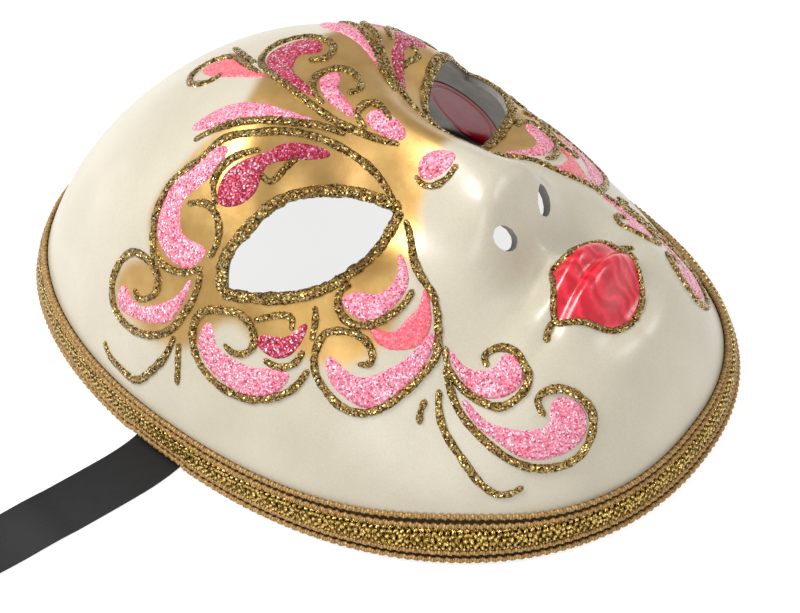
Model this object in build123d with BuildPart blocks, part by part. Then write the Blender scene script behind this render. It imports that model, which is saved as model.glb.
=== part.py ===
from build123d import *
import math
import os

os.makedirs("parts", exist_ok=True)

# A full-face carnival mask lying on its rim: +Z out of the face, +Y to the forehead,
# +X to the wearer's left. The origin is the middle of the rim, on the surface it rests on.

# Dome, before the features are raised on it
HALF_WIDTH = 83.0
HALF_LENGTH = 116.0
CROWN = 83.0  # height of the dome above the rim plane
SKIRT = 62.0  # depth of the dome's equator below the rim plane
TAPER = -0.09  # narrowing towards the forehead
OUTLINE_POWER = 2.17
PROFILE_POWER = 2.06
SPAN = 2.75  # reach of the surface grid, past the rim on every side
GRID_ACROSS = 41
GRID_ALONG = 51
WINDOW_STEP = 0.05

# Features: height, middle x (both sides) and y, spread across and along
FEATURES = [
    (4.0, 0, 42, 45, 28),  # forehead
    (5.0, 50, 32, 22, 28),  # temples
    (-11.0, 48, -58, 18, 25),  # hollow of the cheeks
    (5.0, 28, -1, 18, 12),  # brow bones
    (2.0, 26, 18, 18, 8),
    (-16.0, 28, -14, 12, 12),  # eye sockets
    (6.0, 25, -93, 16, 16),  # jaw
    (-8.0, 22, -34, 10, 20),  # beside the nose
    (-9.0, 14, -66, 11, 7),  # under the nose
    (-5.0, 0, -64, 9, 5),
    (3.5, 0, -79, 13, 7),  # lips
    (-2.0, 20, -79, 6, 6),  # corners of the mouth
    (-3.0, 0, -91, 13, 5),
    (6.0, 0, -99, 15, 8),  # chin
]
FADE_HEIGHT = 20.0  # the features die away over this much height above the rim
NOSE_TIP_Y = -49.0
NOSE_HEIGHT = 5.0
NOSE_LENGTH = 62.0
NOSE_UNDERSIDE = 11.0
WING_HEIGHT = 4.5

# Layers, measured square to the face
SHELL = 2.2
GLUE = 0.3  # every layer on the face starts at least this far off it
FILL = 0.55
PAINT = 0.5
LINE_FOOT = 0.65  # the glue lines lie over the fills and the lip paint
LINE = 1.2
BRAID = 1.9
BRAID_HEIGHT = 12.0
LINE_WIDTH = 2.0
PATCH = 0.9
PATCH_LENGTH = 42.0
PATCH_WIDTH = 25.0

# Ribbons
RIBBON_WIDTH = 19.0
RIBBON = 0.5
NOTCH_HEIGHT = 1.2  # the rim stands clear of a ribbon that passes under it
NOTCH_WIDTH = 24.0
RIBBON_Y = 16.0
ROLL_RADIUS = 22.0
ROLL_MIDDLE = (-177, 64, 0)

REACH = 200.0


def bell(offset, spread):
    return math.exp(-0.5 * (offset / spread) ** 2)


def ease(t):
    t = min(max(t, 0.0), 1.0)
    return t * t * (3.0 - 2.0 * t)


def relief(x, y):
    """Height of the modelled features above the dome."""
    side = abs(x)
    along = ease(1 - (y - NOSE_TIP_Y) / NOSE_LENGTH)
    if y < NOSE_TIP_Y:
        along = ease(1 - (NOSE_TIP_Y - y) / NOSE_UNDERSIDE)
    ridge_spread = 8.5 - 2.5 * ease((y - NOSE_TIP_Y) / 40.0)
    height = NOSE_HEIGHT * along * bell(x, ridge_spread)
    height += WING_HEIGHT * bell(side - 10.5, 4.5) * bell(y - NOSE_TIP_Y + 4.0, 5.0)
    for rise, middle_x, middle_y, across, up in FEATURES:
        height += rise * bell(side - middle_x, across) * bell(y - middle_y, up)
    return height


def face_point(across, along, lift):
    """Point in the direction (across, along) of the face surface raised by lift."""
    dx = across * HALF_WIDTH
    dy = along * HALF_LENGTH
    full = CROWN + SKIRT
    rim_scale = (1 - (SKIRT / full) ** PROFILE_POWER) ** (1 / PROFILE_POWER)
    forward = dy / math.hypot(dx, dy, HALF_WIDTH)
    wide = HALF_WIDTH * (1 + TAPER * forward) / rim_scale + lift
    long = HALF_LENGTH / rim_scale + lift
    flat = abs(dx / wide) ** OUTLINE_POWER + abs(dy / long) ** OUTLINE_POWER
    high = full / (full + lift)
    scale = (flat ** (PROFILE_POWER / OUTLINE_POWER) + high**PROFILE_POWER) ** (-1 / PROFILE_POWER)
    x = dx * scale
    y = dy * scale
    z = full * scale - SKIRT
    return Vector(x, y, z + relief(x, y) * ease(z / FADE_HEIGHT))


def grid_direction(index, count):
    angle = -1.0 + 2.0 * index / (count - 1)
    return SPAN * math.tan(angle) / math.tan(1.0)


def evenly(start, end):
    count = round((end - start) / WINDOW_STEP) + 1
    return [start + (end - start) * index / (count - 1) for index in range(count)]


WHOLE = (
    [grid_direction(index, GRID_ACROSS) for index in range(GRID_ACROSS)],
    [grid_direction(index, GRID_ALONG) for index in range(GRID_ALONG)],
)
# Windows on the face, as ranges of direction across and along
EYE_WINDOW = (evenly(-1.1, -0.08), evenly(-0.42, 0.22))
SIDE_WINDOWS = {
    "brow": (evenly(-1.15, 0.0), evenly(-0.4, 0.52)),
    "temple": (evenly(-1.95, -0.75), evenly(0.0, 0.88)),
    "cheek": (evenly(-1.65, -0.08), evenly(-0.8, 0.3)),
    "jaw": (evenly(-1.35, -0.3), evenly(-1.75, -0.45)),
}
CROWN_WINDOW = (evenly(-0.35, 0.35), evenly(-0.5, 0.68))
LIP_WINDOW = (evenly(-0.5, 0.5), evenly(-1.35, -0.55))


def skin(lift, window):
    columns, rows = window
    points = [[face_point(across, along, lift) for along in rows] for across in columns]
    return Face.make_surface_from_array_of_points(points, tol=0.1, smoothing=(1, 1, 1), max_deg=6)


def slab(low, high, window=WHOLE):
    """Closed layer between two lifts of the face surface."""
    lower = skin(low, window)
    upper = skin(high, window)
    walls = []
    for bottom_edge in lower.edges():
        top_edge = upper.edges().sort_by_distance(bottom_edge.center())[0]
        walls.append(Face.make_surface_from_curves(bottom_edge, top_edge))
    return Solid(Shell([lower, upper, *walls]))


# The ornament of one half is drawn on a plane that leans to its side, from the eye's middle.
LEAN = 35.0
side_plane = Plane(
    origin=(-40, -12, 60),
    x_dir=(math.cos(math.radians(LEAN)), 0, math.sin(math.radians(LEAN))),
    z_dir=(-math.sin(math.radians(LEAN)), 0, math.cos(math.radians(LEAN))),
)
front_plane = Plane.XY.offset(70)
CUT_DEPTH = 45.0

EYE_UPPER = [(-20, 14), (-12, 16), (-3, 13), (7, 10), (15, 6), (20, -2), (21, -15)]
EYE_LOWER = [(21, -15), (12, -14), (3, -13), (-5, -11), (-12, -5), (-17, 4), (-20, 14)]
# The painted lips, from the notch of the upper lip round to the middle of the lower
LIP_HALF = [(0, -73.5), (-5, -69.5), (-10, -73), (-17, -78), (-13, -86), (-7, -91), (0, -92.5)]

with BuildPart() as eye_hole:
    with BuildSketch(side_plane):
        with BuildLine():
            Spline(*EYE_UPPER)
            Spline(*EYE_LOWER)
        make_face()
    extrude(amount=CUT_DEPTH, both=True)

NOSTRIL_PLANE = Plane(origin=(-9.5, -57, 63), z_dir=(-0.45, -0.55, 0.7))
with BuildPart() as nostril_hole:
    with BuildSketch(NOSTRIL_PLANE):
        Ellipse(3.2, 4.2)
    extrude(amount=10, both=True)

with BuildPart() as ribbon_notches:
    with Locations((-HALF_WIDTH, RIBBON_Y, 0), (HALF_WIDTH, RIBBON_Y, 0)):
        Box(16, NOTCH_WIDTH, 2 * NOTCH_HEIGHT)

with BuildPart() as shell:
    add(slab(-SHELL, 0))
    Box(REACH * 2, REACH * 2, REACH, align=(Align.CENTER, Align.CENTER, Align.MIN), mode=Mode.INTERSECT)
    for hole in (eye_hole.part, nostril_hole.part):
        add(hole, mode=Mode.SUBTRACT)
        add(mirror(hole, about=Plane.YZ, mode=Mode.PRIVATE), mode=Mode.SUBTRACT)
    add(ribbon_notches.part, mode=Mode.SUBTRACT)

with BuildPart() as rim_braid:
    add(slab(GLUE, BRAID))
    Box(
        REACH * 2,
        REACH * 2,
        BRAID_HEIGHT,
        align=(Align.CENTER, Align.CENTER, Align.MIN),
        mode=Mode.INTERSECT,
    )
    add(ribbon_notches.part, mode=Mode.SUBTRACT)

# Each line is a bead of glue with glitter in it; each fill is a flooded leaf of it.
EYE_LINES = [EYE_UPPER, EYE_LOWER]
BROW_LINES = [
    [(-17, 23), (-20, 28), (-21, 34), (-19, 41), (-13, 44), (-5, 45), (3, 42), (11, 36), (17, 33),
     (22, 26), (26, 20), (29, 14), (30, 4), (28, -5), (23, -13)],
    [(-14, 22), (-11, 21), (-5, 22), (-1, 27), (-3, 35)],
    [(19, 21), (13, 27), (6, 29), (0, 25)],
    [(22, 13), (17, 14), (12, 15), (13, 18)],
    [(14, 43), (17, 40), (23, 32), (27, 25), (30, 19), (33, 12), (34, 6)],
]
BROW_FILLS = [
    [(15, 30), (7, 40), (-4, 43), (-13, 42), (-18, 35), (-17, 26), (-13, 24), (-12, 31), (-8, 36),
     (-3, 37), (5, 32)],
    [(27, 8), (24, 16), (19, 19), (8, 26), (1, 24), (3, 19), (8, 17), (15, 18), (20, 15)],
    [(18, 46), (23, 43), (29, 35), (31, 29), (32, 22), (33, 14), (29, 23), (24, 33)],
]
TEMPLE_LINES = [
    [(-18, 23), (-24, 23), (-30, 25), (-36, 29), (-40, 37), (-40, 47), (-37, 53), (-31, 56),
     (-26, 55), (-21, 50), (-21, 44), (-23, 39), (-28, 37), (-31, 40), (-32, 43), (-30, 46)],
    [(-47, 56), (-50, 53), (-52, 47), (-53, 40), (-48, 33), (-43, 29), (-37, 27)],
    [(-38, 25), (-43, 24), (-49, 23)],
]
TEMPLE_FILLS = [
    [(-22, 26), (-26, 28), (-31, 34), (-34, 41), (-33, 47), (-31, 51), (-34, 52), (-37, 45),
     (-36, 36), (-32, 29)],
]
CHEEK_LINES = [
    [(-29, -16), (-35, -14), (-40, -9), (-43, -3), (-44, 6), (-42, 14), (-38, 19), (-33, 21),
     (-29, 20), (-25, 13), (-24, 8), (-25, 4), (-30, 1), (-33, 3), (-34, 7), (-33, 10)],
    [(-24, 3), (-21, -1), (-19, -7), (-22, -8)],
    [(-32, -3), (-32, -8), (-29, -12), (-25, -13)],
    [(-13, -11), (-17, -13), (-22, -14)],
    [(3, -31), (-2, -31), (-7, -29), (-11, -26), (-13, -22), (-11, -17), (-7, -15), (-3, -16)],
    [(20, -18), (17, -21), (11, -26), (7, -31), (4, -36), (-1, -40), (-7, -43), (-11, -44),
     (-16, -43), (-22, -41), (-28, -38), (-33, -33), (-34, -27), (-32, -22), (-29, -18),
     (-23, -16), (-18, -17), (-16, -20), (-15, -25), (-17, -29), (-20, -30), (-22, -27)],
]
CHEEK_FILLS = [
    [(-30, 16), (-34, 18), (-39, 15), (-42, 7), (-42, -2), (-38, -9), (-33, -11), (-34, -6),
     (-36, 0), (-36, 7), (-34, 13)],
    [(-28, 0), (-26, -3), (-24, -8), (-19, -11), (-24, -11), (-29, -8), (-30, -5)],
    [(10, -22), (6, -27), (2, -29), (-5, -28), (-10, -25), (-10, -20), (-8, -17), (-5, -19),
     (-3, -24), (2, -26), (6, -25)],
    [(4, -34), (0, -37), (-4, -39), (-9, -39), (-13, -35), (-14, -30), (-12, -27), (-11, -31),
     (-5, -34), (0, -35)],
    [(-24, -20), (-27, -21), (-31, -28), (-31, -33), (-27, -37), (-21, -40), (-14, -42),
     (-6, -41), (-12, -39), (-17, -37), (-21, -34), (-25, -30), (-25, -24)],
]
JAW_LINES = [
    [(-22, -46), (-25, -46), (-29, -47)],
    [(-18, -48), (-23, -50), (-28, -54), (-32, -60), (-35, -65), (-36, -71), (-34, -74), (-31, -76)],
    [(-7, -45), (-12, -48), (-15, -53), (-16, -59), (-15, -64), (-11, -67), (-6, -68), (-2, -65),
     (0, -61), (-1, -57), (-5, -55), (-7, -57)],
    [(-12, -47), (-16, -50), (-21, -55), (-24, -61), (-26, -68), (-26, -75), (-23, -81),
     (-18, -85), (-10, -86), (-5, -84), (-3, -80), (-4, -75), (-9, -72), (-12, -75)],
]
JAW_FILLS = [
    [(-13, -53), (-14, -60), (-10, -65), (-5, -66), (-2, -63), (-2, -60), (-6, -59), (-9, -56),
     (-10, -51), (-8, -47)],
    [(-18, -55), (-20, -60), (-20, -67), (-17, -74), (-13, -77), (-7, -76), (-5, -80), (-9, -84),
     (-16, -83), (-21, -79), (-24, -73), (-23, -66), (-21, -59)],
]
# The crown scroll stands on the middle of the forehead and is drawn from the front.
CROWN_LINES = [
    [(-6, -20), (-9, -10), (-12, 2), (-11, 13), (-6, 26), (0, 33), (6, 34), (11, 32), (14, 28),
     (14, 21), (11, 15), (6, 14), (3, 18)],
    [(-10, 3), (-7, 9), (-3, 11), (2, 10), (5, 6), (4, 1), (0, -2), (-3, 0)],
    [(-8, -10), (-6, -6), (-2, -7), (-1, -11), (-3, -15)],
    [(-8, 27), (-4, 36), (0, 46), (-3, 52), (-9, 53), (-14, 48), (-13, 42), (-9, 40)],
    [(-3, 33), (1, 41), (6, 49)],
    [(-10, -28), (-11, -32), (-8, -37), (-4, -38)],
]
CROWN_FILLS = [
    [(-9, 7), (-9, 16), (-4, 26), (1, 31), (8, 30), (12, 26), (11, 20), (7, 18), (5, 22),
     (-1, 21), (-6, 15)],
    [(-7, -5), (-8, 2), (-5, 7), (-1, 9), (2, 7), (-2, 4), (-5, 0)],
    [(-5, -9), (-3, -10), (-4, -20), (-6, -15)],
    [(-9, 25), (-10, 34), (-10, 44), (-6, 50), (-2, 46), (-5, 37)],
    [(-9, -29), (-7, -28), (-3, -36), (-8, -34)],
]


LIP_TAILS = [[(-16, -78), (-20, -77.5), (-23, -79)], [(16, -78), (20, -77.5), (23, -79)]]


def drawn_lines(plane, lines, width):
    """Glue lines of one width, as plane regions."""
    with BuildSketch(plane) as drawn:
        for points in lines:
            with BuildLine() as stroke:
                Spline(*points)
            trace(stroke.line, width)
    return drawn.sketch


def drawn_fills(plane, fills):
    with BuildSketch(plane) as drawn:
        for points in fills:
            with BuildLine():
                Spline(*points, periodic=True)
            make_face()
    return drawn.sketch


def layer(region, sheet):
    """The part of a layer on the face that lies over a drawn region."""
    with BuildPart() as raised:
        extrude(region, amount=CUT_DEPTH, both=True)
        add(sheet, mode=Mode.INTERSECT)
    return raised.part


def save(part, label):
    part.label = label
    export_step(part, f"parts/{label}.step")


def save_pair(part, label):
    """The left and right pieces of a mirrored pair; the right of the wearer is at -X."""
    save(part, f"{label}_right")
    save(mirror(part, about=Plane.YZ, mode=Mode.PRIVATE), f"{label}_left")


save(shell.part, "shell")
save(rim_braid.part, "rim_braid")

eye_lines = drawn_lines(side_plane, EYE_LINES, 2 * LINE_WIDTH)
used_lines = eye_lines
with BuildPart() as eye_outline:
    add(layer(eye_lines, slab(LINE_FOOT, LINE, EYE_WINDOW)))
    add(eye_hole.part, mode=Mode.SUBTRACT)
save_pair(eye_outline.part, "eye_outline")

SIDE_GROUPS = {
    "brow": (BROW_LINES, BROW_FILLS),
    "temple": (TEMPLE_LINES, TEMPLE_FILLS),
    "cheek": (CHEEK_LINES, CHEEK_FILLS),
    "jaw": (JAW_LINES, JAW_FILLS),
}
for group, (lines, fills) in SIDE_GROUPS.items():
    window = SIDE_WINDOWS[group]
    strokes = drawn_lines(side_plane, lines, LINE_WIDTH) - used_lines
    used_lines = used_lines + strokes
    leaves = drawn_fills(side_plane, fills)
    save_pair(layer(strokes, slab(LINE_FOOT, LINE, window)), f"{group}_scroll")
    save_pair(layer(leaves, slab(GLUE, FILL, window)), f"{group}_fill")

crown_strokes = drawn_lines(front_plane, CROWN_LINES, LINE_WIDTH)
crown_leaves = drawn_fills(front_plane, CROWN_FILLS)
save(layer(crown_strokes, slab(LINE_FOOT, LINE, CROWN_WINDOW)), "crown_scroll")
save(layer(crown_leaves, slab(GLUE, FILL, CROWN_WINDOW)), "crown_fill")

lip_halves = [LIP_HALF, [(-x, y) for x, y in LIP_HALF]]
with BuildSketch(front_plane) as lip_shape:
    with BuildLine():
        for half in lip_halves:
            Spline(*half)
    make_face()
lip_strokes = drawn_lines(front_plane, [*lip_halves, *LIP_TAILS], LINE_WIDTH)
save(layer(lip_strokes, slab(LINE_FOOT, LINE, LIP_WINDOW)), "lip_outline")
save(layer(lip_shape.sketch, slab(GLUE, PAINT, LIP_WINDOW)), "lips")

# Oval patch glued inside each temple, over the end of the ribbon
patch_plane = Plane(origin=(-74, 12, 22), x_dir=(-0.356, -0.457, -0.813), z_dir=(0.93, -0.1, -0.37))
with BuildPart() as patch:
    with BuildSketch(patch_plane):
        Ellipse(PATCH_LENGTH / 2, PATCH_WIDTH / 2)
    extrude(amount=12, both=True)
    add(slab(-SHELL - PATCH, -SHELL - GLUE), mode=Mode.INTERSECT)
save_pair(patch.part, "ribbon_patch")

# Ribbon routes: down inside the temple, out under the rim, then flat on the table. The right
# one ends in a loose roll on its edge.
RIBBON_ROUTES = {
    "right": [(-73.2, 16, 14), (-73.2, 16, 0.3), (-87, 16, 0.3), (-106, 21.5, 0.3),
              (-130, 29, 0.3), (-155, 37, 0.3)],
    "left": [(73.2, 16, 14), (73.2, 16, 0.3), (90, 16, 0.3), (107, 33, 0.3), (116, 61, 0.3),
             (112, 89, 0.3), (94, 108, 0.3), (70, 119, 0.3), (46, 124, 0.3)],
}
for side, route in RIBBON_ROUTES.items():
    runs = [(Vector(*b) - Vector(*a)) for a, b in zip(route, route[1:])]
    radii = []
    for before, after in zip(runs, runs[1:]):
        half_turn = math.radians(before.get_angle(after) / 2)
        radii.append(0.45 * min(before.length, after.length) / math.tan(half_turn))
    print(f"ribbon_{side} radii", [round(radius, 1) for radius in radii])
    with BuildPart() as ribbon:
        with BuildLine() as path:
            FilletPolyline(*route, radius=radii)
        with BuildSketch(Plane(origin=route[0], x_dir=(0, 1, 0), z_dir=runs[0])):
            Rectangle(RIBBON_WIDTH, RIBBON)
        sweep(path=path.line)
    print(f"ribbon_{side} volume", ribbon.part.volume / (RIBBON_WIDTH * RIBBON * path.wires()[0].length))
    save(ribbon.part, f"ribbon_{side}")

with BuildPart() as roll:
    with Locations(ROLL_MIDDLE):
        Cylinder(ROLL_RADIUS, RIBBON_WIDTH, align=(Align.CENTER, Align.CENTER, Align.MIN))
save(roll.part, "ribbon_right_roll")
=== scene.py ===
"""A Venetian full-face mask: pearl shell, gold leaf, glitter scrolls, braid and ribbons."""
import math

import bpy
import numpy as np
from mathutils import Matrix, Vector
from mathutils.bvhtree import BVHTree


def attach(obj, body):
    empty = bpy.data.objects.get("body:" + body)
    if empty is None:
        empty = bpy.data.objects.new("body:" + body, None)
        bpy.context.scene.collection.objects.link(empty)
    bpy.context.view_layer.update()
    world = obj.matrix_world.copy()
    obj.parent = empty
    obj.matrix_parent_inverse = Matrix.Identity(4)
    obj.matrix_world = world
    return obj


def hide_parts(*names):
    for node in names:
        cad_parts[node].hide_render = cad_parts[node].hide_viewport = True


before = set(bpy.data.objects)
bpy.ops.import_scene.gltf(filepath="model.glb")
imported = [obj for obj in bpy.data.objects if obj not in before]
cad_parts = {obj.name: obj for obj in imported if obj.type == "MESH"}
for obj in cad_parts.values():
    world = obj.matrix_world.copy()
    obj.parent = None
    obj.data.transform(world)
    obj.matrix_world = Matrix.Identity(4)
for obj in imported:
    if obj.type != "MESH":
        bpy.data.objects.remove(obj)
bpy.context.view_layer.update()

MM = 0.001

# ---------------------------------------------------------------- the face surface, in mm
HALF_WIDTH = 83.0
HALF_LENGTH = 116.0
CROWN = 83.0
SKIRT = 62.0
TAPER = -0.09
OUTLINE_POWER = 2.17
PROFILE_POWER = 2.06
FADE_HEIGHT = 20.0
NOSE_TIP_Y = -49.0
NOSE_RISE = 5.0
NOSE_LENGTH = 62.0
NOSE_FOOT = 11.0
NOSTRIL_WING_X = 10.5
NOSTRIL_WING_RISE = 4.5
SHELL = 2.2
# Rise, middle x (both sides) and y, spread across and along
FEATURES = [
    (4.0, 0, 42, 45, 28),  # forehead
    (5.0, 50, 32, 22, 28),  # temples
    (-11.0, 48, -58, 18, 25),  # hollow of the cheeks
    (5.0, 28, -1, 18, 12),  # brow bones
    (2.0, 26, 18, 18, 8),
    (-16.0, 28, -14, 12, 12),  # eye sockets
    (6.0, 25, -93, 16, 16),  # jaw
    (-8.0, 22, -34, 10, 20),  # beside the nose
    (-9.0, 14, -66, 11, 7),  # under the nose
    (-5.0, 0, -64, 9, 5),
    (4.0, 0, -74.5, 11, 3.2),  # upper lip
    (5.0, 0, -82.5, 9.5, 3.8),  # lower lip
    (-2.5, 0, -78.5, 14, 1.5),  # parting of the lips
    (-3.0, 20, -79, 5, 5),  # corners of the mouth
    (-4.0, 0, -90, 13, 4),  # under the lower lip
    (6.0, 0, -99, 15, 8),  # chin
    (-3.0, 0, -27, 8, 11),  # bridge of the nose
]
RIM_SCALE = (1 - (SKIRT / (CROWN + SKIRT)) ** PROFILE_POWER) ** (1 / PROFILE_POWER)


def bell(offset, spread):
    return np.exp(-0.5 * (offset / spread) ** 2)


def ease(t):
    t = np.clip(t, 0, 1)
    return t * t * (3 - 2 * t)


def relief(x, y):
    """Height of the nose and the other features over the plain mould at (x, y)."""
    side = np.abs(x)
    above = ease(1 - (y - NOSE_TIP_Y) / NOSE_LENGTH)
    below = ease(1 - (NOSE_TIP_Y - y) / NOSE_FOOT)
    ridge = 8.5 - 2.5 * ease((y - NOSE_TIP_Y) / 40.0)
    height = NOSE_RISE * np.where(y > NOSE_TIP_Y, above, below) * bell(x, ridge)
    wing = bell(side - NOSTRIL_WING_X, 4.5) * bell(y - NOSE_TIP_Y + 4.0, 5.0)
    height = height + NOSTRIL_WING_RISE * wing
    for rise, middle_x, middle_y, across, up in FEATURES:
        height = height + rise * bell(side - middle_x, across) * bell(y - middle_y, up)
    return height


def face_grid(across, along):
    """Points of the face in the directions (across, along)."""
    dx = across * HALF_WIDTH
    dy = along * HALF_LENGTH
    full = CROWN + SKIRT
    forward = dy / np.sqrt(dx**2 + dy**2 + HALF_WIDTH**2)
    wide = HALF_WIDTH * (1 + TAPER * forward) / RIM_SCALE
    long = HALF_LENGTH / RIM_SCALE
    flat = np.abs(dx / wide) ** OUTLINE_POWER + np.abs(dy / long) ** OUTLINE_POWER
    scale = (flat ** (PROFILE_POWER / OUTLINE_POWER) + 1) ** (-1 / PROFILE_POWER)
    z = full * scale - SKIRT
    x = dx * scale
    y = dy * scale
    return np.stack([x, y, z + relief(x, y) * ease(z / FADE_HEIGHT)], -1)


# ---------------------------------------------------------------- camera
VIEW_AZIMUTH = math.radians(-52.3)
VIEW_ELEVATION = math.radians(42.73)
VIEW_ROLL = math.radians(-3.25)
VIEW_DISTANCE = 541.33
VIEW_TARGET = np.array([-18.88, -26.86, 30.0])
SENSOR_WIDTH = 36.0
LENS = 84.6


def make_camera():
    az, el, roll = VIEW_AZIMUTH, VIEW_ELEVATION, VIEW_ROLL
    back = np.array([math.sin(az) * math.cos(el), -math.cos(az) * math.cos(el), math.sin(el)])
    level = np.array([math.cos(az), math.sin(az), 0.0])
    up = np.cross(back, level)
    right = math.cos(roll) * level + math.sin(roll) * up
    up = np.cross(back, right)
    data = bpy.data.cameras.new("camera")
    data.sensor_width = SENSOR_WIDTH
    data.lens = LENS
    camera = bpy.data.objects.new("camera", data)
    bpy.context.collection.objects.link(camera)
    spot = (VIEW_TARGET + back * VIEW_DISTANCE) * MM
    camera.matrix_world = Matrix(
        [(right[i], up[i], back[i], spot[i]) for i in range(3)] + [(0, 0, 0, 1)]
    )
    bpy.context.scene.camera = camera


make_camera()


# ---------------------------------------------------------------- mesh helpers
def make_object(name, points, faces, materials, indices=None, uvs=None, sharp=None):
    """A smooth-shaded mesh from points in mm; uvs has one pair a point."""
    mesh = bpy.data.meshes.new(name)
    mesh.from_pydata([tuple(p) for p in np.asarray(points, float) * MM], [], faces)
    for material in materials:
        mesh.materials.append(material)
    mesh.polygons.foreach_set("use_smooth", [True] * len(mesh.polygons))
    if indices is not None:
        mesh.polygons.foreach_set("material_index", indices)
    if uvs is not None:
        layer = mesh.uv_layers.new(name="UVMap")
        corners = np.empty(len(mesh.loops), dtype=np.int32)
        mesh.loops.foreach_get("vertex_index", corners)
        layer.data.foreach_set("uv", np.asarray(uvs, np.float32)[corners].ravel())
    mesh.validate()
    mesh.update()
    if sharp is not None:
        mesh.set_sharp_from_angle(angle=math.radians(sharp))
    obj = bpy.data.objects.new(name, mesh)
    bpy.context.collection.objects.link(obj)
    return obj


def place(obj, slot, *nodes):
    """Fixes obj to the mask, in place of the CAD nodes; slot is not used."""
    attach(obj, "root")
    if nodes:
        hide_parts(*nodes)
    return obj


def smooth_curve(points, closed=False, step=0.6):
    """Points along the natural (or periodic) cubic spline through points."""
    p = np.array(points, float)
    if closed:
        p = np.vstack([p, p[:1]])
    t = np.concatenate([[0], np.cumsum(np.linalg.norm(np.diff(p, axis=0), axis=1))])
    h = np.diff(t)
    slopes = np.diff(p, axis=0) / h[:, None]
    n = len(p)
    matrix = np.eye(n)
    side = np.zeros_like(p)
    for i in range(1, n - 1):
        matrix[i, i - 1 : i + 2] = h[i - 1], 2 * (h[i - 1] + h[i]), h[i]
        side[i] = 6 * (slopes[i] - slopes[i - 1])
    if closed:
        matrix[0, 0] = 2 * (h[0] + h[-1])
        matrix[0, 1] = h[0]
        matrix[0, n - 2] += h[-1]
        side[0] = 6 * (slopes[0] - slopes[-1])
        matrix[n - 1, 0] = -1
    bend = np.linalg.solve(matrix, side)
    at = np.linspace(0, t[-1], max(4, int(t[-1] / step) + 1))
    if closed:
        at = at[:-1]
    k = np.clip(np.searchsorted(t, at, side="right") - 1, 0, n - 2)
    a = ((t[k + 1] - at) / h[k])[:, None]
    b = 1 - a
    hk = (h[k] ** 2)[:, None]
    return a * p[k] + b * p[k + 1] + ((a**3 - a) * bend[k] + (b**3 - b) * bend[k + 1]) * hk / 6


DISTANCE_BATCH = 4000


def outline_distance(points, outline):
    """Signed distance in the plane to a closed outline, positive inside."""
    a = outline
    b = np.roll(outline, -1, axis=0)
    d = b - a
    result = np.empty(len(points))
    for start in range(0, len(points), DISTANCE_BATCH):
        p = points[start : start + DISTANCE_BATCH, None, :]
        t = np.clip(((p - a) * d).sum(-1) / (d * d).sum(-1), 0, 1)
        away = np.linalg.norm(p - a - t[..., None] * d, axis=-1).min(1)
        above = (a[:, 1] > p[..., 1]) != (b[:, 1] > p[..., 1])
        rise = np.where(d[:, 1] == 0, 1e-9, d[:, 1])
        crossing = above & (p[..., 0] < (p[..., 1] - a[:, 1]) / rise * d[:, 0] + a[:, 0])
        inside = crossing.sum(1) % 2 == 1
        result[start : start + DISTANCE_BATCH] = np.where(inside, away, -away)
    return result


SNAP = 1e-4  # a point this close to a cut counts as inside it


def clip(points, faces, value):
    """The part of a mesh where value, given at its points, is positive."""
    value = np.where(np.abs(value) < SNAP, SNAP, value)
    inside = value > 0
    same_size = len({len(face) for face in faces}) == 1
    face_inside = inside[np.array(faces)] if same_size else None
    extra = []
    made = {}
    kept = []
    for number, face in enumerate(faces):
        flags = face_inside[number] if face_inside is not None else inside[list(face)]
        if flags.all():
            kept.append(tuple(face))
            continue
        if not flags.any():
            continue
        corner = []
        for a, b in zip(face, tuple(face[1:]) + tuple(face[:1])):
            if inside[a]:
                corner.append(a)
            if inside[a] != inside[b]:
                key = (min(a, b), max(a, b))
                if key not in made:
                    t = value[key[0]] / (value[key[0]] - value[key[1]])
                    made[key] = len(points) + len(extra)
                    extra.append(points[key[0]] + (points[key[1]] - points[key[0]]) * t)
                corner.append(made[key])
        if len(corner) >= 3:
            kept.append(tuple(corner))
    if extra:
        points = np.vstack([points, extra])
    used = sorted({i for face in kept for i in face})
    renumber = {old: new for new, old in enumerate(used)}
    return points[used], [tuple(renumber[i] for i in face) for face in kept]


def grid_faces(rows, columns):
    """Four-sided faces of a grid of points stored row by row."""
    return [
        (i * columns + j, (i + 1) * columns + j, (i + 1) * columns + j + 1, i * columns + j + 1)
        for i in range(rows - 1)
        for j in range(columns - 1)
    ]


def ring_faces(spans, sides, rings):
    """Faces between neighbouring closed rings of points, the last ring meeting the first."""
    faces = []
    for ring in range(spans):
        here = ring * sides
        ahead = (ring + 1) % rings * sides
        for k in range(sides):
            after = (k + 1) % sides
            faces.append((here + k, here + after, ahead + after, ahead + k))
    return faces


def border(faces):
    """Directed edges that only one face has."""
    edges = {(a, b) for face in faces for a, b in zip(face, face[1:] + face[:1])}
    return [(a, b) for a, b in edges if (b, a) not in edges]


def point_normals(points, faces):
    """Unit normals at the points, averaged over the faces round each."""
    total = np.zeros_like(points)
    by_size = {}
    for face in faces:
        by_size.setdefault(len(face), []).append(face)
    for group in by_size.values():
        index = np.array(group)
        corner = points[index]
        normal = np.cross(corner[:, 2] - corner[:, 0], corner[:, -1] - corner[:, 1])
        for k in range(index.shape[1]):
            np.add.at(total, index[:, k], normal)
    length = np.linalg.norm(total, axis=1, keepdims=True)
    return total / np.maximum(length, 1e-12)


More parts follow.
